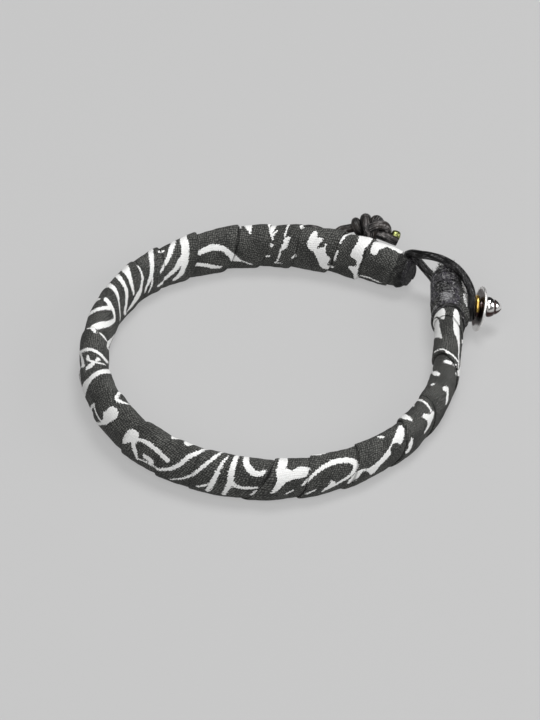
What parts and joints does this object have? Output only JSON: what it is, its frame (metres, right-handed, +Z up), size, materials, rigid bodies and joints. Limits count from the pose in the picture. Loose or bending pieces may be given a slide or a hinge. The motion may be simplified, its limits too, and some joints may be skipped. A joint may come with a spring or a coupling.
{
  "type": "bandana bracelet",
  "caption": "Wristband of a printed bandana wound into a soft ring, closed by a leather cord loop over a pointed metal stud.",
  "frame": {"origin": "on the surface that the bracelet lies on, under the middle of its bounding box without the loop cord", "axes": "+Z up through the wrist hollow, +X towards the stud, +Y towards the back of the ring, where the tied cord is"},
  "size_m": [0.0767, 0.0699, 0.0109],
  "materials": {
    "printed_cotton": "charcoal plain-weave cotton with a white bandana print",
    "waxed_thread": "black waxed thread bound over the cloth's ends",
    "black_leather": "round black leather cord, slightly polished",
    "silver_metal": "polished white metal",
    "brass": "polished yellow brass"
  },
  "bodies": {
    "root": {"cloth_wrap": "printed_cotton", "end_binding_a": "waxed_thread", "end_binding_b": "waxed_thread", "stud_thong": "black_leather", "stud": "silver_metal", "brass_ring": "brass", "loop_cord": "black_leather", "cord_knot": "black_leather", "bead_thread": "waxed_thread", "brass_bead": "brass"}
  },
  "joints": []
}
